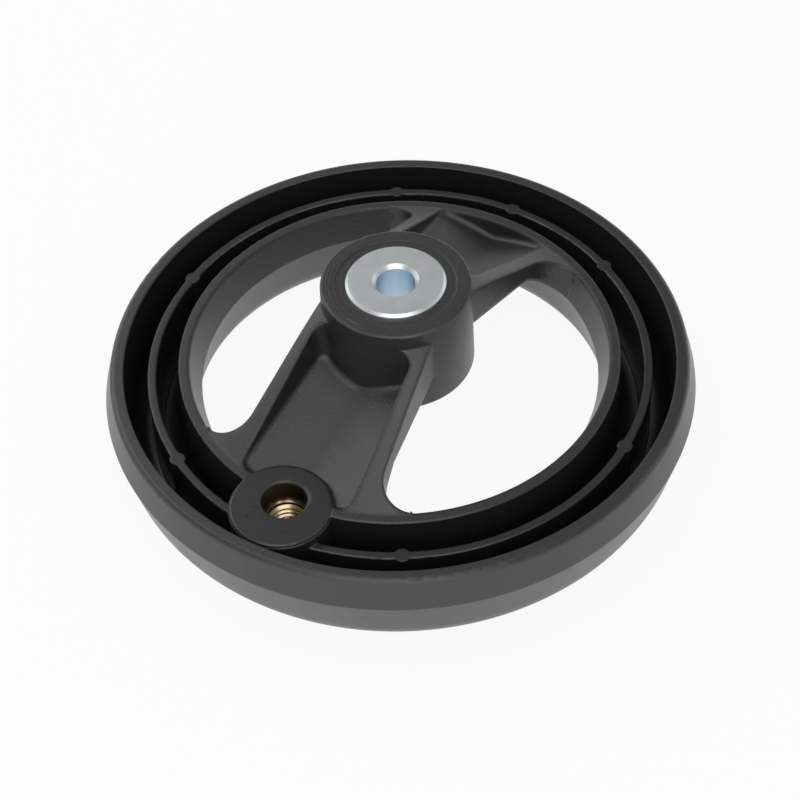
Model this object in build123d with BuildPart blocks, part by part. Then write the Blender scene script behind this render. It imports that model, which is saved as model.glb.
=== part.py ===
from build123d import *
import math
import os

os.makedirs("parts", exist_ok=True)

# A 125 mm two-spoke machine handwheel of black glass-filled plastic.
# It lies on the front face of its rim with the machine side up.
# Z is the bore axis and z = 0 is the plane that the rim rests on.
# X runs along the two spokes, and the boss for the revolving handle is at +X.
# Heights are measured from z = 0. All lengths are in millimetres, angles in degrees.

# Rim: an oval section whose machine side is open as a deep channel
rim_outer_radius = 62.5  # at the parting plane, the widest place
rim_inner_radius = 42.1  # at the parting plane, the narrowest place
rim_front_lean = 12.9  # degrees by which both walls lean in below the parting plane
parting_height = 15.3
rim_height = 22.0  # machine-side edges of both walls
rear_outer_radius = 60.7
rear_inner_radius = 44.3
outer_edge_rounding = 1.3
channel_outer_radius = 58.0
channel_inner_radius = 46.5
channel_floor = 4.4
channel_draft = 0.5
channel_edge_rounding = 0.3
channel_floor_rounding = 3.5

# Stiffening rib round the middle of the channel, with the pads that the ejector pins push on
rib_outer_radius = 53.3
rib_thickness = 1.9
rib_height = 19.4
rib_draft = 0.2
rib_edge_rounding = 0.3
pin_pad_radius = 1.6
pin_pad_angles = (30, 90, 150, 180, 210, 270, 330)

# Hub: plastic round the steel bush, set back behind the rim's front face
hub_rear_height = 41.8
hub_front_height = 20.5
hub_rear_radius = 15.5
hub_front_radius = 15.9
hub_rear_rounding = 0.5
hub_front_rounding = 1.0
hub_recess_radius = 12.4
hub_recess_depth = 0.15

# Dish: the turned form that the spokes' flanges are cut from, as radius and height
dish_inner = (12.0, 40.2)
dish_middle = (31.3, 28.9)
dish_outer = (45.5, 21.5)

# Gussets: the front of the corners between the spokes and the rim, as radius and height
gusset_inner = (33.0, 23.5)
gusset_middle = (39.0, 18.2)
gusset_rear = (33.0, 25.5)
gusset_outer_height = 21.0
gusset_corner_cover = 0.3  # from a spoke's side to where the corner beside it begins
gusset_corner_width = 9.0
gusset_corner_depth = 1.6  # below the keel's side, so that the corner stands in the gusset

# Spokes: open channels with two flanges, a V-shaped web and a keel on the front
spoke_half_width = 12.9  # outer faces, at the axis and at parting_height
spoke_widening = 0.088  # each side, for each millimetre of x
spoke_draft = 1.5
pocket_half_width = 8.85  # inner faces, at the axis and at parting_height
pocket_widening = 0.083
pocket_draft = 3.0
web_height = 29.3  # bottom of the V in the web, if it ran in to the axis
web_fall = 0.262  # for each millimetre of x
web_slope = 0.24  # each side of the V
web_thickness = 2.4
keel_slope = 0.30  # each side of the keel
valley_rounding = 6.0
keel_rounding = 8.0
pocket_corner_rounding = 2.2
pocket_end_radius = 42.0  # at parting_height
pocket_hub_relief = 0.05  # how much deeper than the hub's wall the pockets are cut
pocket_floor_rounding = 1.2
corner_radius = 4.7  # where a spoke's side meets the rim, at parting_height
corner_growth = 0.19  # for each millimetre of height

# Boss for the revolving handle, with a smaller flat seat on the front round the insert
boss_offset = 47.4
boss_radius = 10.3
boss_step_height = 0.7  # below the boss's rear face it steps out to its base
boss_base_radius = 10.5
boss_base_height = 4.0
boss_rear_rounding = 0.4
seat_height = 0.3
seat_boss_radius = 9.0
seat_rounding = 1.0

# Brass insert, moulded into the boss; its M8 thread opens to the front and is cut here to its minor diameter
insert_offset = 46.1
insert_radius = 6.0
insert_cover = 0.8  # plastic over the insert's rear end
counterbore_radius = 4.6
counterbore_depth = 5.2  # from the boss's rear face
thread_major_radius = 4.0
thread_minor_radius = 3.32
insert_groove_depth = 0.7
insert_groove_width = 2.0
insert_groove_heights = (6.0, 14.0)  # middles of the two grooves that hold the insert

# Steel bush, moulded into the hub
bush_radius = 10.3
bush_rear_height = 42.6
bush_chamfer = 0.55
bore_radius = 4.0
bore_chamfer = 0.8
bush_groove_depth = 1.2
bush_groove_width = 5.0
bush_groove_middle = 31.0
bush_flat_offset = 9.3  # flats beside the groove keep the bush from turning
bush_flat_width = 9.0

# Values that follow from the ones above
rim_middle_radius = (rim_outer_radius + rim_inner_radius) / 2
rim_half_width = (rim_outer_radius - rim_inner_radius) / 2
lean_cos = math.cos(math.radians(rim_front_lean))
lean_sin = math.sin(math.radians(rim_front_lean))
rim_front_radius = (rim_half_width * lean_cos - parting_height * lean_sin) / (1 - lean_sin)
rim_front_reach = rim_front_radius * lean_cos
rim_front_tangent_height = rim_front_radius * (1 - lean_sin)
inner_wall_slope = (rear_inner_radius - rim_inner_radius) / (rim_height - parting_height)
spoke_reach = channel_inner_radius - 1.0
insert_rear_height = rim_height - insert_cover
insert_length = insert_rear_height - seat_height
bush_length = bush_rear_height - hub_front_height
beyond = 60.0  # a length that clears the whole wheel
window_low = 12.0
window_high = 43.0


def spoke_outline(half_width, widening):
    """Corners of a plan outline that widens from the axis along +X."""
    far = half_width + beyond * widening
    return [(0, -half_width), (beyond, -far), (beyond, far), (0, half_width)]


def valley_outline(x):
    """Corners of the space above the V of the web, in the plane at x."""
    low = web_height - web_fall * x
    side = low + beyond * web_slope
    return [(0, low), (beyond, side), (beyond, 2 * beyond), (-beyond, 2 * beyond), (-beyond, side)]


def keel_outline(x):
    """Corners of the space above the keel in the plane at x, with the corners at the rim beside it."""
    low = web_height - web_thickness - web_fall * x
    near = spoke_half_width + spoke_widening * x + gusset_corner_cover
    far = near + gusset_corner_width
    side = low + near * keel_slope
    foot = side - gusset_corner_depth
    right = [(near, side), (near, foot), (far, foot), (far, 2 * beyond)]
    return [(0, low), *right, *[(-y, z) for y, z in reversed(right)]]


# One window, tapered so that both halves of the mould can leave it
with BuildPart() as window:
    for level in (window_low, window_high):
        rise = level - parting_height
        near = spoke_half_width - rise * math.tan(math.radians(spoke_draft))
        far = near + beyond * spoke_widening
        with BuildSketch(Plane.XY.offset(level)) as window_sketch:
            with BuildLine():
                Polyline((0, near), (beyond, far), (beyond, beyond), (-beyond, beyond), (-beyond, far), close=True)
            make_face()
            Circle(rim_inner_radius + rise * inner_wall_slope, mode=Mode.INTERSECT)
            corners = window_sketch.vertices().group_by(SortBy.DISTANCE)[-1]
            fillet(corners, corner_radius + rise * corner_growth)
    loft(ruled=True)

# The space between the flanges of one spoke, from the hub to the rim and down to the web
with BuildPart() as pocket:
    for x in (0, beyond):
        valley_low = web_height - web_fall * x
        with BuildSketch(Plane.YZ.offset(x)) as pocket_sketch:
            with BuildLine():
                Polyline(*valley_outline(x), close=True)
            make_face()
            fillet(pocket_sketch.vertices().sort_by_distance((0, valley_low))[0], valley_rounding)
    loft(ruled=True)
    with BuildSketch(Plane.XY.offset(parting_height)):
        with BuildLine():
            Polyline(*spoke_outline(pocket_half_width, pocket_widening), close=True)
        make_face()
    extrude(amount=hub_rear_height - parting_height, taper=-pocket_draft, mode=Mode.INTERSECT)
    with BuildSketch(Plane.XZ):
        with BuildLine():
            rim_reach = pocket_end_radius + inner_wall_slope * (hub_rear_height - parting_height)
            Polyline(
                (hub_front_radius - pocket_hub_relief, parting_height),
                (hub_front_radius - pocket_hub_relief, hub_front_height),
                (hub_rear_radius - pocket_hub_relief, hub_rear_height),
                (rim_reach, hub_rear_height),
                (pocket_end_radius, parting_height),
                close=True,
            )
        make_face()
    revolve(axis=Axis.Z, mode=Mode.INTERSECT)
    walls = pocket.faces().filter_by(lambda face: abs(face.normal_at().Z) < 0.5)
    corners = [edge for edge in pocket.edges() if len([wall for wall in walls if edge in wall.edges()]) == 2]
    fillet(corners, pocket_corner_rounding)
    floor_faces = pocket.faces().filter_by(lambda face: face.normal_at().Z < -0.5)
    floor_edges = [edge for edge in pocket.edges() if len([face for face in floor_faces if edge in face.edges()]) == 1]
    fillet(floor_edges, pocket_floor_rounding)

# Everything above the keels on the front of the spokes
with BuildPart() as above_keel:
    for x in (0, beyond):
        keel_low = web_height - web_thickness - web_fall * x
        with BuildSketch(Plane.YZ.offset(x)) as keel_sketch:
            with BuildLine():
                Polyline(*keel_outline(x), close=True)
            make_face()
            fillet(keel_sketch.vertices().sort_by_distance((0, keel_low))[0], keel_rounding)
    loft(ruled=True)
    mirror(about=Plane.YZ)

# Boss, level with the rim's rear edges
with BuildPart() as boss:
    with BuildSketch(Plane.XY.offset(seat_height)):
        with Locations((insert_offset, 0)):
            Circle(seat_boss_radius)
    with BuildSketch(Plane.XY.offset(boss_base_height)):
        with Locations((boss_offset, 0)):
            Circle(boss_base_radius)
    loft(ruled=True)
    fillet(boss.edges().group_by(Axis.Z)[0], seat_rounding)
    with BuildSketch(Plane.XY.offset(boss_base_height)):
        with Locations((boss_offset, 0)):
            Circle(boss_base_radius)
    extrude(amount=rim_height - boss_step_height - boss_base_height)
    with BuildSketch(Plane.XY.offset(rim_height - boss_step_height)):
        with Locations((boss_offset, 0)):
            Circle(boss_radius)
    extrude(amount=boss_step_height)
    fillet(boss.edges().group_by(Axis.Z)[-1], boss_rear_rounding)

# Zinc-plated steel bush
with BuildPart() as hub_bush:
    with BuildSketch(Plane.XY.offset(hub_front_height)):
        Circle(bush_radius)
        Circle(bore_radius, mode=Mode.SUBTRACT)
    extrude(amount=bush_length)
    chamfer(hub_bush.edges().group_by(Axis.Z)[0].sort_by(SortBy.RADIUS)[-1], bush_chamfer)
    chamfer(hub_bush.edges().group_by(Axis.Z)[-1].sort_by(SortBy.RADIUS)[-1], bush_chamfer)
    chamfer(hub_bush.edges().filter_by(GeomType.CIRCLE).group_by(SortBy.RADIUS)[0], bore_chamfer)
    with BuildSketch(Plane.XY.offset(bush_groove_middle - bush_groove_width / 2)):
        Circle(bush_radius)
        Circle(bush_radius - bush_groove_depth, mode=Mode.SUBTRACT)
    extrude(amount=bush_groove_width, mode=Mode.SUBTRACT)
    with BuildSketch(Plane.XY.offset(bush_groove_middle - bush_flat_width / 2)):
        with Locations((0, bush_flat_offset + bush_radius), (0, -bush_flat_offset - bush_radius)):
            Rectangle(2 * bush_radius, 2 * bush_radius)
    extrude(amount=bush_flat_width, mode=Mode.SUBTRACT)

# Brass insert
with BuildPart() as handle_insert:
    with Locations((insert_offset, 0, seat_height)):
        Cylinder(insert_radius, insert_length, align=(Align.CENTER, Align.CENTER, Align.MIN))
    for height in insert_groove_heights:
        with BuildSketch(Plane.XY.offset(height - insert_groove_width / 2)):
            with Locations((insert_offset, 0)):
                Circle(insert_radius)
                Circle(insert_radius - insert_groove_depth, mode=Mode.SUBTRACT)
        extrude(amount=insert_groove_width, mode=Mode.SUBTRACT)
    with BuildSketch(Plane.XY.offset(rim_height - counterbore_depth)):
        with Locations((insert_offset, 0)):
            Circle(counterbore_radius)
    extrude(amount=counterbore_depth, mode=Mode.SUBTRACT)
    with BuildSketch(Plane.XY.offset(seat_height)):
        with Locations((insert_offset, 0)):
            Circle(thread_minor_radius)
    extrude(amount=insert_length, mode=Mode.SUBTRACT)
    thread_mouth = handle_insert.edges().group_by(Axis.Z)[0].sort_by(SortBy.RADIUS)[0]
    chamfer(thread_mouth, thread_major_radius - thread_minor_radius)

# The one-piece plastic wheel
with BuildPart() as wheel_body:
    # Flanges and web, cut from the dish
    with BuildSketch(Plane.XZ):
        with BuildLine():
            ThreePointArc(dish_inner, dish_middle, dish_outer)
            Polyline(dish_outer, (dish_outer[0], 0), (0, 0), (0, dish_inner[1]), dish_inner)
        make_face()
    revolve(axis=Axis.Z)
    add(above_keel.part, mode=Mode.INTERSECT)
    with BuildSketch(Plane.XZ):
        with BuildLine():
            ThreePointArc(gusset_inner, gusset_middle, (rim_inner_radius, parting_height))
            Line((rim_inner_radius, parting_height), (spoke_reach, parting_height))
            Line((spoke_reach, parting_height), (spoke_reach, gusset_outer_height))
            Polyline((spoke_reach, gusset_outer_height), gusset_rear, gusset_inner)
        make_face()
    revolve(axis=Axis.Z)
    Cylinder(spoke_reach, 2 * beyond, mode=Mode.INTERSECT)
    add(window.part, mode=Mode.SUBTRACT)
    add(window.part.rotate(Axis.Z, 180), mode=Mode.SUBTRACT)

    # Hub, with a shallow ring sunk round the bush
    with BuildSketch(Plane.XZ) as hub_section:
        with BuildLine():
            recess_floor = hub_rear_height - hub_recess_depth
            hub_front = (hub_front_radius, hub_front_height)
            hub_rear = (hub_rear_radius, hub_rear_height)
            Polyline((0, hub_front_height), hub_front, hub_rear, (hub_recess_radius, hub_rear_height))
            Line((hub_recess_radius, hub_rear_height), (hub_recess_radius, recess_floor))
            Polyline((hub_recess_radius, recess_floor), (0, recess_floor), (0, hub_front_height))
        make_face()
        fillet(hub_section.vertices().sort_by_distance(hub_front)[0], hub_front_rounding)
        fillet(hub_section.vertices().sort_by_distance(hub_rear)[0], hub_rear_rounding)
    revolve(axis=Axis.Z)

    # Pockets between the flanges
    add(pocket.part, mode=Mode.SUBTRACT)
    add(pocket.part.rotate(Axis.Z, 180), mode=Mode.SUBTRACT)

    # Rim section, with the channel open to the machine side
    with BuildSketch(Plane.XZ) as rim_section:
        with BuildLine():
            floor_outer = channel_outer_radius - channel_draft
            floor_inner = channel_inner_radius + channel_draft
            rear_outer = (rear_outer_radius, rim_height)
            rear_inner = (rear_inner_radius, rim_height)
            mouth_outer = (channel_outer_radius, rim_height)
            mouth_inner = (channel_inner_radius, rim_height)
            front_outer = (rim_middle_radius + rim_front_reach, rim_front_tangent_height)
            front_inner = (rim_middle_radius - rim_front_reach, rim_front_tangent_height)
            Polyline(rear_inner, (rim_inner_radius, parting_height), front_inner)
            ThreePointArc(front_inner, (rim_middle_radius, 0), front_outer)
            Line(front_outer, (rim_outer_radius, parting_height))
            Line((rim_outer_radius, parting_height), rear_outer)
            Line(rear_outer, mouth_outer)
            Line(mouth_outer, (floor_outer, channel_floor))
            Line((floor_outer, channel_floor), (floor_inner, channel_floor))
            Line((floor_inner, channel_floor), mouth_inner)
            Line(mouth_inner, rear_inner)
        make_face()
        fillet(rim_section.vertices().sort_by_distance(rear_outer)[0], outer_edge_rounding)
        fillet(rim_section.vertices().sort_by_distance(mouth_outer)[0], channel_edge_rounding)
        fillet(rim_section.vertices().sort_by_distance(mouth_inner)[0], channel_edge_rounding)
        fillet(rim_section.vertices().sort_by_distance((floor_outer, channel_floor))[0], channel_floor_rounding)
        fillet(rim_section.vertices().sort_by_distance((floor_inner, channel_floor))[0], channel_floor_rounding)
    revolve(axis=Axis.Z)

    # Rib and ejector pads
    with BuildSketch(Plane.XZ) as rib_section:
        with BuildLine():
            rib_inner_radius = rib_outer_radius - rib_thickness
            Polyline(
                (rib_inner_radius - rib_draft, channel_floor - 1.0),
                (rib_outer_radius + rib_draft, channel_floor - 1.0),
                (rib_outer_radius, rib_height),
                (rib_inner_radius, rib_height),
                close=True,
            )
        make_face()
        fillet(rib_section.vertices().group_by(Axis.Y)[-1], rib_edge_rounding)
    revolve(axis=Axis.Z)
    with BuildSketch(Plane.XY.offset(channel_floor - 1.0)):
        rib_middle_radius = rib_outer_radius - rib_thickness / 2
        for angle in pin_pad_angles:
            with PolarLocations(rib_middle_radius, 1, start_angle=angle):
                Circle(pin_pad_radius)
    extrude(amount=rib_height - channel_floor + 1.0)

    # Boss and its flat seat
    with BuildSketch(Plane.XY):
        with Locations((insert_offset, 0)):
            Circle(seat_boss_radius)
    extrude(amount=seat_height, mode=Mode.SUBTRACT)
    add(boss.part)

    # Room for the two metal pieces that are moulded in
    add(hub_bush.part, mode=Mode.SUBTRACT)
    with BuildSketch(Plane.XY.offset(hub_front_height)):
        Circle(bore_radius + bore_chamfer)
    extrude(amount=bush_length, mode=Mode.SUBTRACT)
    add(handle_insert.part, mode=Mode.SUBTRACT)
    with BuildSketch(Plane.XY.offset(seat_height)):
        with Locations((insert_offset, 0)):
            Circle(counterbore_radius)
    extrude(amount=rim_height, mode=Mode.SUBTRACT)

wheel_body.part.label = "wheel_body"
hub_bush.part.label = "hub_bush"
handle_insert.part.label = "handle_insert"
export_step(wheel_body.part, "parts/wheel_body.step")
export_step(hub_bush.part, "parts/hub_bush.step")
export_step(handle_insert.part, "parts/handle_insert.step")
print("volumes", wheel_body.part.volume, hub_bush.part.volume, handle_insert.part.volume)
print("valid", wheel_body.part.is_valid, hub_bush.part.is_valid, handle_insert.part.is_valid)
print("solids", len(wheel_body.part.solids()), len(hub_bush.part.solids()), len(handle_insert.part.solids()))
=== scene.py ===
import math

import bmesh
import bpy
from mathutils import Matrix, Vector


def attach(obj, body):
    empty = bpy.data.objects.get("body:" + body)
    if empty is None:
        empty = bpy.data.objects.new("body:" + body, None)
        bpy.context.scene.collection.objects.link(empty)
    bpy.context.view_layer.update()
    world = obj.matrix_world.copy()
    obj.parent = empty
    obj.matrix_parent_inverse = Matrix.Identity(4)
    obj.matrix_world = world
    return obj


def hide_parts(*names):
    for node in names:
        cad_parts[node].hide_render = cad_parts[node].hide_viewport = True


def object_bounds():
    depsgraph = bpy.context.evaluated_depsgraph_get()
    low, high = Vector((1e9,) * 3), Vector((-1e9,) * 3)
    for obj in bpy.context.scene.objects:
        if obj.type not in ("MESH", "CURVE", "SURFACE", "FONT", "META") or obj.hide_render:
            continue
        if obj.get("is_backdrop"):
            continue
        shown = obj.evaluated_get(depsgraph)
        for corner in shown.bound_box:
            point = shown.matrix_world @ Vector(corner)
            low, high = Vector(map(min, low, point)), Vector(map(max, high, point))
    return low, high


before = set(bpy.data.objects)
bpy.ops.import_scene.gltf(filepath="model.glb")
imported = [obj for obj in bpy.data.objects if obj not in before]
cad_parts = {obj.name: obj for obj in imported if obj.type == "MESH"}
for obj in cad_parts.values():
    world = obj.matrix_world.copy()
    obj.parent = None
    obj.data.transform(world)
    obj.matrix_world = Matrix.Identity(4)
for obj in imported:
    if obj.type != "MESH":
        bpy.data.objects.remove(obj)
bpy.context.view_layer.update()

# Wheel body: rim, two channel-section spokes, hub and handle boss in one moulding of black
# glass-filled plastic. It is the CAD's mesh with the long chords of its turned faces divided, so
# that the rim and hub look round.
RIM_INSIDE = 0.0440  # everything outside this radius is turned round the axis
HUB_OUTSIDE = 0.0149  # and so is everything inside this one
GRIP_OUTSIDE = 0.0104  # but not the hidden tabs that grip the bush's flats, between these heights
GRIP_LOW = 0.0264
GRIP_HIGH = 0.0356
LONGEST_CHORD = 0.0016
LEVEL = 0.00002
LAND_HEIGHT = 0.0220  # the rim's rear edges and the boss's face are level
LAND_INSIDE = 0.0442
LAND_LIP = 0.0002  # the CAD's mesh stands above it by less than this in places
BOSS_OFFSET = 0.0474
BOSS_RADIUS = 0.0103
BOSS_MARGIN = 0.0004
WALL_FOOT = (0.0421, 0.0153)  # rim's inner wall, as radius and height
WALL_HEAD = (0.0443, 0.0220)
WITNESS_BEARINGS = (32.5, -32.5, 148.5, -148.5)  # where the mould's cores for the windows end
WITNESS_WIDTH = 0.00022
WITNESS_RELIEF = 0.00012
NIB_WIDTH = 0.0007
NIB_RELIEF = 0.0004
NIB_LENGTH = 0.0008
CREST_SHARE = 0.35  # of a bar's width, on the side that shows

wheel_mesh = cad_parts["wheel_body"].data.copy()
wheel = bpy.data.objects.new("wheel_moulding", wheel_mesh)
bpy.context.scene.collection.objects.link(wheel)
leaning = wheel_mesh.attributes.new("leaning", "FLOAT_VECTOR", "CORNER")
for corner, normal in zip(leaning.data, wheel_mesh.corner_normals):
    corner.vector = normal.vector
shell = bmesh.new()
shell.from_mesh(wheel_mesh)
bmesh.ops.remove_doubles(shell, verts=shell.verts, dist=0.000001)
for vertex in shell.verts:
    if LAND_HEIGHT < vertex.co.z < LAND_HEIGHT + LAND_LIP and vertex.co.xy.length > LAND_INSIDE:
        vertex.co.z = LAND_HEIGHT
lean = shell.loops.layers.float_vector["leaning"]
for face in shell.faces:
    if all(abs(vertex.co.z - LAND_HEIGHT) < LEVEL for vertex in face.verts):
        for loop in face.loops:
            loop[lean] = (0, 0, 1)
radius = shell.verts.layers.float.new("radius")
on_round = shell.edges.layers.int.new("on_round")
boss_axis = Vector((BOSS_OFFSET, 0))
for vertex in shell.verts:
    vertex[radius] = vertex.co.xy.length
for _ in range(2):
    chords = []
    for edge in shell.edges:
        first, last = edge.verts
        near, far = sorted((first[radius], last[radius]))
        at_grip = far < GRIP_OUTSIDE and all(GRIP_LOW < v.co.z < GRIP_HIGH for v in edge.verts)
        turned_zone = near > RIM_INSIDE or (far < HUB_OUTSIDE and not at_grip)
        if edge.calc_length() > LONGEST_CHORD and turned_zone:
            from_axis = min((v.co.xy - boss_axis).length for v in edge.verts)
            in_boss = from_axis < BOSS_RADIUS + BOSS_MARGIN
            sloping = abs(first.co.z - last.co.z) > LEVEL
            edge[on_round] = not in_boss and (far - near < LEVEL or sloping)
            chords.append(edge)
    before = set(shell.verts)
    bmesh.ops.subdivide_edges(shell, edges=chords, cuts=1)
    for vertex in set(shell.verts) - before:
        if any(edge[on_round] for edge in vertex.link_edges):
            vertex.co.xy *= vertex[radius] / vertex.co.xy.length
    for edge in shell.edges:
        edge[on_round] = 0
bmesh.ops.triangulate(shell, faces=shell.faces)

# Where the cores for the windows end, the mould leaves a thin upright line and a nib of flash.
for bearing in WITNESS_BEARINGS:
    along = Vector((math.cos(math.radians(bearing)), math.sin(math.radians(bearing)), 0))
    across = Vector((-along.y, along.x, 0))
    foot, head = (along * r + Vector((0, 0, h)) for r, h in (WALL_FOOT, WALL_HEAD))
    nib_foot = head.lerp(foot, NIB_LENGTH / (head - foot).length)
    nib_head = head + Vector((0, 0, NIB_RELIEF / 2))
    for low, high, width, relief in (
        (foot, head, WITNESS_WIDTH, WITNESS_RELIEF),
        (nib_foot, nib_head, NIB_WIDTH, NIB_RELIEF),
    ):
        bar = bmesh.ops.create_cube(shell, size=1.0)["verts"]
        for vertex in bar:
            side, inward, upward = vertex.co
            base = high if upward > 0 else low
            narrow = CREST_SHARE if inward > 0 else 1.0
            vertex.co = base + across * side * width * narrow - along * (inward * relief * 2)
bar_faces = [face for face in shell.faces if len(face.verts) == 4]
bmesh.ops.recalc_face_normals(shell, faces=bar_faces)
shell.to_mesh(wheel_mesh)
shell.free()
wheel_mesh.shade_smooth()
leaning = wheel_mesh.attributes["leaning"]
wheel_mesh.normals_split_custom_set([corner.vector.normalized() for corner in leaning.data])
wheel_mesh.attributes.remove(wheel_mesh.attributes["leaning"])
for name in ("radius", "on_round"):
    wheel_mesh.attributes.remove(wheel_mesh.attributes[name])


class Signal:
    """A socket of a finish's nodes. Arithmetic on it adds the Math nodes."""

    def __init__(self, tree, socket=None):
        self.tree, self.socket = tree, socket

    def node(self, kind, inputs=None, output=0, **settings):
        """Add a node: its settings first, then values or signals for its inputs."""
        made = self.tree.nodes.new("ShaderNode" + kind)
        for name, setting in settings.items():
            setattr(made, name, setting)
        for name, value in (inputs or {}).items():
            if isinstance(value, Signal):
                self.tree.links.new(value.socket, made.inputs[name])
            else:
                made.inputs[name].default_value = value
        return Signal(self.tree, made.outputs[output])

    def maths(self, operation, *values):
        return self.node("Math", dict(enumerate(values)), operation=operation)

    def __add__(self, other):
        return self.maths("ADD", self, other)

    def __sub__(self, other):
        return self.maths("SUBTRACT", self, other)

    def __rsub__(self, other):
        return self.maths("SUBTRACT", other, self)

    def __mul__(self, other):
        return self.maths("MULTIPLY", self, other)

    def __pow__(self, other):
        return self.maths("POWER", self, other)

    __radd__ = __add__

    def step(self, low, high):
        """0 up to low, rising smoothly to 1 at high."""
        inputs = {0: self, 1: low, 2: high}
        return self.node("MapRange", inputs, interpolation_type="SMOOTHSTEP")

    def above(self, low, soft):
        """1 above low, fading to 0 over soft below it."""
        return self.step(low - soft, low)

    def below(self, high, soft):
        """1 below high, fading to 0 over soft above it."""
        return 1 - self.step(high, high + soft)

    def between(self, low, high, soft):
        return self.above(low, soft) * self.below(high, soft)

    def noise(self, place, pitch, detail, roughness):
        """Noise whose cells are about pitch metres wide."""
        inputs = {"Vector": place, "Scale": 1 / pitch, "Detail": detail, "Roughness": roughness}
        return self.node("TexNoise", inputs)

    def blend(self, first, second):
        """A colour that goes from first, where this signal is 0, to second."""
        return self.node("Mix", {0: self, 6: first, 7: second}, output=2, data_type="RGBA")

    def feed(self, shader, socket):
        self.tree.links.new(self.socket, shader.inputs[socket])


def new_finish(name, **fixed):
    """A material, its shader with the fixed values set, and a signal to build on."""
    material = bpy.data.materials.new(name)
    material.use_nodes = True
    shader = material.node_tree.nodes["Principled BSDF"]
    for socket, value in fixed.items():
        shader.inputs[socket.replace("_", " ")].default_value = value
    return material, shader, Signal(material.node_tree)


# The mould is spark eroded, so the skin carries an even fine grain with a little fibre in it. Only
# the walls of the rim's deep channel and the boss's face are smoother and blacker.
BLACK = (0.0160, 0.0152, 0.0149, 1)
GREY_SKIN = (0.0230, 0.0226, 0.0222, 1)
SCRATCHED = (0.22, 0.22, 0.21, 1)
GLOSS_INDEX = 1.72
CHANNEL_REACH = (0.0459, 0.0582)
CHANNEL_HEIGHTS = (0.0030, 0.0213)
CHANNEL_RIM_FADE = 0.0004
MASK_FADE = 0.0002
BOSS_FACE_ABOVE = 0.0213
GRAIN_PITCH = 0.00036
FIBRE_PITCH = 0.0007
CLOUD_PITCH = 0.014
SPECK_RANGE = (0.58, 0.76)  # of the fibres' noise, where a fibre shows pale
SCRATCH_REACH = 0.01382  # a short pale scratch on the hub's rear face
SCRATCH_WIDTH = 0.00006
SCRATCH_EDGE = 0.00003
SCRATCH_BEARINGS = (-14.5, -3.8)
SCRATCH_END = 0.8
SCRATCH_BREAKS = (0.42, 0.06)
HUB_FACE_ABOVE = 0.0410
PIN_MARKS = ((0.0518, 0.0038), (0.0519, -0.0038))  # ejector pins have left two rings on the boss
PIN_MARK_RADIUS = 0.00135
PIN_MARK_LINE = 0.00007
PIN_MARK_ABOVE = 0.0215
TURNED_ABOVE = 0.0412
TURNED_PITCH = 0.0006
THIN_FADE = 0.0001
EDGE_ROUNDING = 0.0005
SPOKE_ROUNDING = 0.0013
SPOKE_REACH = (0.0165, 0.0445)
SPOKE_REACH_FADE = 0.0008
SPOKE_ABOVE = 0.0200
SPOKE_ABOVE_FADE = 0.001
BEVEL_SAMPLES = 6
SKIN_ROUGHNESS = 0.33
CLOUD_ROUGHNESS = 0.12
SPECK_ROUGHNESS = 0.05
SMOOTH_ROUGHNESS = 0.04
FIBRE_RELIEF = 0.3  # against 1 for the grain
SMOOTHED_AWAY = 0.9
PIN_RELIEF = 5.0
TURNED_RELIEF = 0.9
RELIEF_DEPTH = 0.00013
RELIEF_STRENGTH = 0.7

moulded_black, shader, start = new_finish("moulded_black", IOR=GLOSS_INDEX)
place = start.node("TexCoord", output="Object")
x, y, z = (start.node("SeparateXYZ", {0: place}, output=axis) for axis in "XYZ")
reach = (x * x + y * y) ** 0.5
from_boss = ((x - BOSS_OFFSET) * (x - BOSS_OFFSET) + y * y) ** 0.5
channel = reach.between(*CHANNEL_REACH, MASK_FADE) * z.between(*CHANNEL_HEIGHTS, CHANNEL_RIM_FADE)
boss_face = from_boss.below(BOSS_RADIUS, MASK_FADE) * z.above(BOSS_FACE_ABOVE, MASK_FADE)
smooth = channel.maths("MAXIMUM", channel, boss_face)
grain = start.noise(place, GRAIN_PITCH, detail=2.5, roughness=0.65)
fibres = start.noise(place, FIBRE_PITCH, detail=3.0, roughness=0.7)
clouds = start.noise(place, CLOUD_PITCH, detail=4.0, roughness=0.55)
specks = start.node("MapRange", {0: fibres, 1: SPECK_RANGE[0], 2: SPECK_RANGE[1]})
bloom = (clouds + specks) * 0.5 * (1 - smooth)
skin = bloom.blend(BLACK, GREY_SKIN)

bearing = y.maths("ARCTAN2", y, x) * (180 / math.pi)
scratch = reach.between(SCRATCH_REACH, SCRATCH_REACH + SCRATCH_WIDTH, SCRATCH_EDGE)
scratch = scratch * bearing.between(*SCRATCH_BEARINGS, SCRATCH_END)
scratch = scratch * z.above(HUB_FACE_ABOVE, MASK_FADE) * fibres.above(*SCRATCH_BREAKS)
scratch.blend(skin, SCRATCHED).feed(shader, "Base Color")

pins = 0
for pin_x, pin_y in PIN_MARKS:
    to_pin = ((x - pin_x) * (x - pin_x) + (y - pin_y) * (y - pin_y)) ** 0.5
    ring = (PIN_MARK_RADIUS - PIN_MARK_LINE, PIN_MARK_RADIUS + PIN_MARK_LINE)
    pins = pins + to_pin.between(*ring, PIN_MARK_LINE)
pins = pins * z.above(PIN_MARK_ABOVE, THIN_FADE)
outward = start.node("CombineXYZ", {0: reach})
turned_marks = start.noise(outward, TURNED_PITCH, detail=2.0, roughness=0.5)
turned_marks = turned_marks * z.above(TURNED_ABOVE, THIN_FADE)

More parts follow.
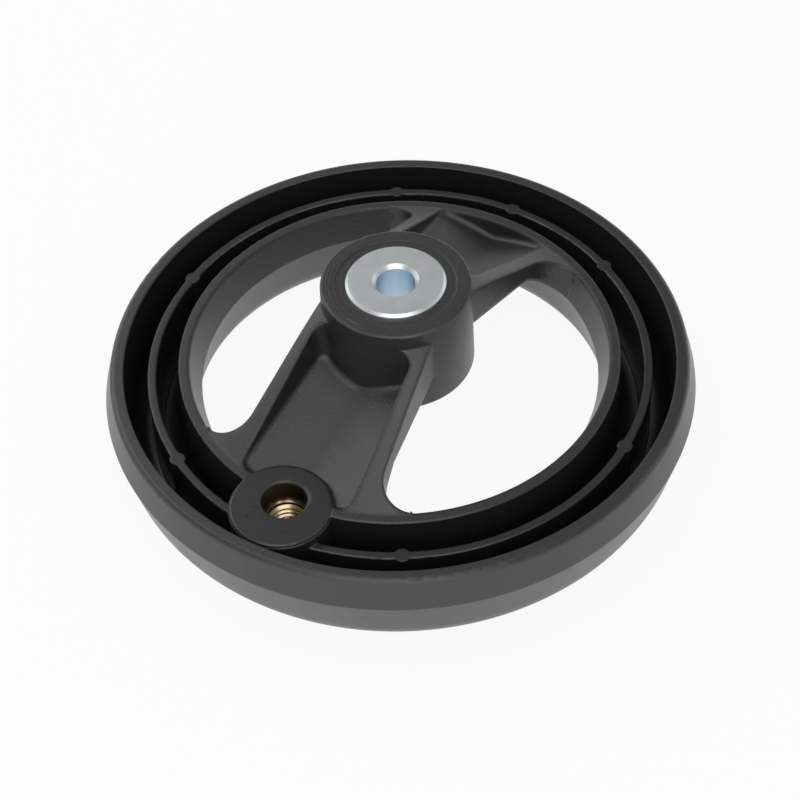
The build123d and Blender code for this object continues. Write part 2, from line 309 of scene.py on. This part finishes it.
roughness = SKIN_ROUGHNESS + (clouds - 0.5) * CLOUD_ROUGHNESS
roughness = roughness + specks * SPECK_ROUGHNESS - smooth * SMOOTH_ROUGHNESS
roughness.feed(shader, "Roughness")
crisp = start.node("Bevel", {"Radius": EDGE_ROUNDING}, samples=BEVEL_SAMPLES)
wide = start.node("Bevel", {"Radius": SPOKE_ROUNDING}, samples=BEVEL_SAMPLES)
on_spoke = reach.between(*SPOKE_REACH, SPOKE_REACH_FADE) * z.above(SPOKE_ABOVE, SPOKE_ABOVE_FADE)
rounded = start.node("Mix", {0: on_spoke, 4: crisp, 5: wide}, output=1, data_type="VECTOR")
relief = (grain + fibres * FIBRE_RELIEF) * (1 - smooth * SMOOTHED_AWAY)
relief = relief + pins * PIN_RELIEF + turned_marks * TURNED_RELIEF
bump = start.node(
    "Bump",
    {"Height": relief, "Distance": RELIEF_DEPTH, "Strength": RELIEF_STRENGTH, "Normal": rounded},
)
bump.feed(shader, "Normal")
wheel_mesh.materials.clear()
wheel_mesh.materials.append(moulded_black)
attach(wheel, "root")
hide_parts("wheel_body")

# Hub bush: a turned steel sleeve, zinc plated, held in the hub by the plastic round it. Its face
# keeps fine turning lines under the plating, and its bore is chamfered for the shaft.
ZINC = (0.85, 0.91, 0.93, 1)
ZINC_PALE = (0.93, 0.97, 0.98, 1)
# the bore's own bluer tint is a painted reflection of the bright floor seen through it
ZINC_BORE_REFLECTION = (0.80, 0.90, 0.98, 1)
BORE_REACH = 0.0042
BORE_FADE = 0.0001
TURNING_PITCH = 0.00022
PATCH_PITCH = 0.003
ZINC_ROUGHNESS = 0.26
ZINC_PATCH_ROUGHNESS = 0.12
ZINC_LINE_ROUGHNESS = 0.08
TURNING_DEPTH = 0.000012

zinc_plate, shader, start = new_finish("zinc_plate", Metallic=1.0)
place = start.node("TexCoord", output="Object")
x, y, z = (start.node("SeparateXYZ", {0: place}, output=axis) for axis in "XYZ")
reach = (x * x + y * y) ** 0.5
across_lines = start.node("CombineXYZ", {0: reach, 1: z * 0.5})
lines = start.noise(across_lines, TURNING_PITCH, detail=2.0, roughness=0.5)
patches = start.noise(place, PATCH_PITCH, detail=3.0, roughness=0.5)
face = patches.blend(ZINC, ZINC_PALE)
# Painted reflection: inside the bore's radius the colour turns to the bore's bluer tint.
reach.below(BORE_REACH, BORE_FADE).blend(face, ZINC_BORE_REFLECTION).feed(shader, "Base Color")
roughness = ZINC_ROUGHNESS + patches * ZINC_PATCH_ROUGHNESS + lines * ZINC_LINE_ROUGHNESS
roughness.feed(shader, "Roughness")
bump = start.node("Bump", {"Height": lines, "Distance": TURNING_DEPTH, "Strength": 0.5})
bump.feed(shader, "Normal")
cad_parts["hub_bush"].material_slots[0].material = zinc_plate

# Handle insert: a turned brass bush with an M8 thread, moulded into the boss. The mould's pin held
# it by the smooth counterbore above the thread. Two grooves round it lock it in the plastic.
INSERT_OFFSET = 0.0461
INSERT_RADIUS = 0.0060
INSERT_FRONT = 0.0003
INSERT_REAR = 0.0212
COUNTERBORE_RADIUS = 0.0046
COUNTERBORE_FLOOR = 0.0168
THREAD_MAJOR_RADIUS = 0.0040
THREAD_MINOR_RADIUS = 0.00332
THREAD_PITCH = 0.00125
GROOVE_DEPTH = 0.0007
GROOVE_WIDTH = 0.0020
GROOVE_HEIGHTS = (0.006, 0.014)
FRONT_CHAMFER = 0.0001
LEAD_IN = 0.0003
BLANK_STEPS = 96
SHARP_ANGLE = math.radians(30)

outline = [
    (THREAD_MAJOR_RADIUS + FRONT_CHAMFER, INSERT_FRONT),
    (THREAD_MAJOR_RADIUS, INSERT_FRONT + FRONT_CHAMFER),
    (THREAD_MAJOR_RADIUS, COUNTERBORE_FLOOR - LEAD_IN),
    (THREAD_MAJOR_RADIUS + LEAD_IN, COUNTERBORE_FLOOR),
    (COUNTERBORE_RADIUS, COUNTERBORE_FLOOR),
    (COUNTERBORE_RADIUS, INSERT_REAR),
    (INSERT_RADIUS, INSERT_REAR),
]
for height in sorted(GROOVE_HEIGHTS, reverse=True):
    outline += [
        (INSERT_RADIUS, height + GROOVE_WIDTH / 2),
        (INSERT_RADIUS - GROOVE_DEPTH, height + GROOVE_WIDTH / 2),
        (INSERT_RADIUS - GROOVE_DEPTH, height - GROOVE_WIDTH / 2),
        (INSERT_RADIUS, height - GROOVE_WIDTH / 2),
    ]
outline += [(INSERT_RADIUS, INSERT_FRONT), outline[0]]
turned = bmesh.new()
corners = [turned.verts.new((r, 0, h)) for r, h in outline]
edges = [turned.edges.new(pair) for pair in zip(corners, corners[1:])]
bmesh.ops.spin(
    turned,
    geom=corners + edges,
    axis=(0, 0, 1),
    cent=(0, 0, 0),
    angle=math.tau,
    steps=BLANK_STEPS,
    use_merge=True,
)
bmesh.ops.remove_doubles(turned, verts=turned.verts, dist=0.000001)
bmesh.ops.recalc_face_normals(turned, faces=turned.faces)
bmesh.ops.translate(turned, verts=turned.verts, vec=(INSERT_OFFSET, 0, 0))
insert_mesh = bpy.data.meshes.new("insert_blank")
turned.to_mesh(insert_mesh)
turned.free()
insert = bpy.data.objects.new("insert_blank", insert_mesh)
bpy.context.scene.collection.objects.link(insert)
insert_mesh.shade_smooth()
insert_mesh.set_sharp_from_angle(angle=SHARP_ANGLE)

BRASS = (0.36, 0.27, 0.13, 1)
BRASS_PALE = (0.66, 0.56, 0.36, 1)
BRASS_PAINTED_SHADE = (0.130, 0.108, 0.075, 1)  # painted shade and dark reflection: the counterbore's brass is coloured dull dark brown
BRASS_PATCH_PITCH = 0.0015
BRASS_RING_PITCH = 0.0003
BRASS_RING_DEPTH = 0.00001
SHADE_START = 0.0003  # above the counterbore's floor
SHADE_FADE = 0.0008
SHADE_WANDER = 0.002
BRASS_ROUGHNESS = 0.14
BRASS_PATCH_ROUGHNESS = 0.14
COUNTERBORE_ROUGHNESS = 0.1

brass, shader, start = new_finish("brass", Metallic=1.0)
place = start.node("TexCoord", output="Object")
patches = start.noise(place, BRASS_PATCH_PITCH, detail=3.0, roughness=0.6)
only_height = start.node("VectorMath", {0: place, 1: (0, 0, 1)}, operation="MULTIPLY")
rings = start.noise(only_height, BRASS_RING_PITCH, detail=2.0, roughness=0.5)
clean = patches.blend(BRASS, BRASS_PALE)
# Painted shade and dark reflection: above its floor, the counterbore's wall is coloured dull dark
# brown, with an uneven edge.
height = start.node("SeparateXYZ", {0: place}, output="Z") + (patches - 0.5) * SHADE_WANDER
counterbore_shade = height.above(COUNTERBORE_FLOOR + SHADE_START, SHADE_FADE)
counterbore_shade.blend(clean, BRASS_PAINTED_SHADE).feed(shader, "Base Color")
roughness = BRASS_ROUGHNESS + patches * BRASS_PATCH_ROUGHNESS + counterbore_shade * COUNTERBORE_ROUGHNESS
roughness.feed(shader, "Roughness")
bump = start.node("Bump", {"Height": rings, "Distance": BRASS_RING_DEPTH, "Strength": 0.5})
bump.feed(shader, "Normal")

# The thread is a ridge that follows a right-handed helix, as a tap leaves it in the bore. Its
# section is a trapezium, narrow at the crest, and its root stands just clear of the bore's wall.
TURN_STEPS = 64
ROOT_CLEARANCE = 0.00003
ROOT_HALF_WIDTH = 0.46  # as shares of the pitch
CREST_HALF_WIDTH = 0.11
thread_nodes = bpy.data.node_groups.new("thread_ridge", "GeometryNodeTree")
thread_nodes.interface.new_socket("Geometry", in_out="OUTPUT", socket_type="NodeSocketGeometry")
sizes = {}
for name, value in (
    ("Major Radius", THREAD_MAJOR_RADIUS),
    ("Minor Radius", THREAD_MINOR_RADIUS),
    ("Pitch", THREAD_PITCH),
    ("Length", COUNTERBORE_FLOOR - INSERT_FRONT - THREAD_PITCH),
):
    socket = thread_nodes.interface.new_socket(name, in_out="INPUT", socket_type="NodeSocketFloat")
    sizes[name] = (socket.identifier, value)


def build(kind, inputs=None, **settings):
    """Add a node to the thread's tree: its settings first, then values or links."""
    made = thread_nodes.nodes.new(kind)
    for name, setting in settings.items():
        setattr(made, name, setting)
    for name, value in (inputs or {}).items():
        if isinstance(value, bpy.types.NodeSocket):
            thread_nodes.links.new(value, made.inputs[name])
        else:
            made.inputs[name].default_value = value
    return made


def reckon(operation, first, second):
    return build("ShaderNodeMath", {0: first, 1: second}, operation=operation).outputs[0]


given = build("NodeGroupInput").outputs
turns = reckon("DIVIDE", given["Length"], given["Pitch"])
helix = build(
    "GeometryNodeCurveSpiral",
    {
        "Resolution": TURN_STEPS,
        "Rotations": turns,
        "Start Radius": given["Major Radius"],
        "End Radius": given["Major Radius"],
        "Height": given["Length"],
        "Reverse": False,
    },
).outputs[0]
upright = build("GeometryNodeSetCurveNormal", {"Curve": helix}, mode="Z_UP").outputs[0]
depth = reckon("SUBTRACT", given["Major Radius"], given["Minor Radius"])
root = reckon("MULTIPLY", given["Pitch"], ROOT_HALF_WIDTH)
crest = reckon("MULTIPLY", given["Pitch"], CREST_HALF_WIDTH)
section_corners = (
    (ROOT_CLEARANCE, reckon("MULTIPLY", root, -1.0)),
    (depth, reckon("MULTIPLY", crest, -1.0)),
    (depth, crest),
    (ROOT_CLEARANCE, root),
)
points = [
    build("ShaderNodeCombineXYZ", {0: inward, 1: along}).outputs[0]
    for inward, along in section_corners
]
section = build(
    "GeometryNodeCurvePrimitiveQuadrilateral",
    {f"Point {number + 1}": point for number, point in enumerate(points)},
    mode="POINTS",
).outputs[0]
swept = {"Curve": upright, "Profile Curve": section, "Fill Caps": True}
ridge = build("GeometryNodeCurveToMesh", swept).outputs[0]
real = build("GeometryNodeRealizeInstances", {"Geometry": ridge}).outputs[0]
coloured = build("GeometryNodeSetMaterial", {"Geometry": real, "Material": brass}).outputs[0]
thread_nodes.links.new(coloured, build("NodeGroupOutput").inputs[0])

thread_maker = bpy.data.objects.new("thread_maker", bpy.data.meshes.new("thread_maker"))
bpy.context.scene.collection.objects.link(thread_maker)
tapping = thread_maker.modifiers.new("tap", "NODES")
tapping.node_group = thread_nodes
for identifier, value in sizes.values():
    tapping[identifier] = value
made = thread_maker.evaluated_get(bpy.context.evaluated_depsgraph_get())
thread_mesh = bpy.data.meshes.new_from_object(made)
bpy.data.objects.remove(thread_maker)
thread_mesh.transform(Matrix.Translation((INSERT_OFFSET, 0, INSERT_FRONT + THREAD_PITCH / 2)))
thread = bpy.data.objects.new("insert_thread", thread_mesh)
bpy.context.scene.collection.objects.link(thread)
shape = bmesh.new()
shape.from_mesh(thread_mesh)
bmesh.ops.recalc_face_normals(shape, faces=shape.faces)
shape.to_mesh(thread_mesh)
shape.free()
thread_mesh.shade_smooth()
thread_mesh.set_sharp_from_angle(angle=SHARP_ANGLE)
insert_mesh.materials.append(brass)
for piece in (insert, thread):
    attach(piece, "root")
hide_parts("handle_insert")

# Studio: a pale floor under a soft sky that is lightest at the horizon, three soft disk lamps, and
# the camera. No light comes from the floor under the boss, because the seat stands on it.
FLOOR_SIZE = 4.0
FLOOR_PALE = (0.86, 0.86, 0.86, 1)
FLOOR_ROUGHNESS = 0.9
FLOOR_GLOW = 0.92
SEAT_FADE = 0.004
WHITE = (1, 1, 1, 1)
SKY_FALL = 3.0
SKY_LEAST = 0.22
LAMPS = (  # name, place, width and power
    ("overhead", (0.12, 0.07, 0.90), 1.0, 1.9),
    ("front", (0.64, 0.38, 0.67), 1.1, 3.2),
    ("left", (-0.17, -0.75, 0.64), 0.8, 1.9),
)
CAMERA_LENS = 89.505
CAMERA_SENSOR = 36
CAMERA_PLACE = (0.246126, 0.149647, 0.325864)
CAMERA_RIGHT = (-0.489854, 0.871234, -0.031525)
CAMERA_UP = (-0.658228, -0.345896, 0.668649)
CAMERA_BACK = (0.571646, 0.348291, 0.742910)
CAMERA_NEAR, CAMERA_FAR = 0.01, 20

bpy.ops.mesh.primitive_plane_add(size=FLOOR_SIZE)
floor = bpy.context.object
floor.name = "floor"
floor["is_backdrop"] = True
pale, shader, start = new_finish("pale_floor", Base_Color=FLOOR_PALE, Roughness=FLOOR_ROUGHNESS)
place = start.node("TexCoord", output="Object")
ends = {0: place, 1: (INSERT_OFFSET, 0, 0)}
to_boss = start.node("VectorMath", ends, operation="DISTANCE", output="Value")
open_floor = 1 - to_boss.below(BOSS_RADIUS, SEAT_FADE)
seen = start.node("LightPath", output="Is Camera Ray")
seen = seen + start.node("LightPath", output="Is Glossy Ray") * open_floor
seen = seen + start.node("LightPath", output="Is Transmission Ray")
glow = start.node("Emission", {"Color": WHITE, "Strength": 1.0})
plain = Signal(start.tree, shader.outputs[0])
mixed = start.node("MixShader", {0: seen * FLOOR_GLOW, 1: plain, 2: glow})
mixed.feed(start.tree.nodes["Material Output"], 0)
floor.data.materials.append(pale)

scene = bpy.context.scene
scene.world = bpy.data.worlds.new("studio")
scene.world.use_nodes = True
sky = Signal(scene.world.node_tree)
upward = sky.node("SeparateXYZ", {0: sky.node("TexCoord", output="Generated")}, output="Z")
soft_sky = (1 - upward.maths("MAXIMUM", upward, 0.0)) ** SKY_FALL + SKY_LEAST
seen = sky.node("LightPath", output="Is Camera Ray")
background = sky.tree.nodes["Background"]
background.inputs[0].default_value = WHITE
(seen + (1 - seen) * soft_sky).feed(background, 1)

for name, place, width, power in LAMPS:
    bpy.ops.object.light_add(type="AREA", location=place)
    lamp = bpy.context.object
    lamp.name = name
    lamp.data.shape = "DISK"
    lamp.data.size = width
    lamp.data.energy = power
    lamp.rotation_euler = Vector(place).to_track_quat("Z", "Y").to_euler()

camera_data = bpy.data.cameras.new("camera")
camera_data.lens = CAMERA_LENS
camera_data.sensor_width = CAMERA_SENSOR
camera_data.clip_start, camera_data.clip_end = CAMERA_NEAR, CAMERA_FAR
camera = bpy.data.objects.new("camera", camera_data)
scene.collection.objects.link(camera)
turn = Matrix((CAMERA_RIGHT, CAMERA_UP, CAMERA_BACK)).transposed().to_4x4()
camera.matrix_world = Matrix.Translation(CAMERA_PLACE) @ turn
scene.camera = camera
scene.view_settings.view_transform = "Standard"

low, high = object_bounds()
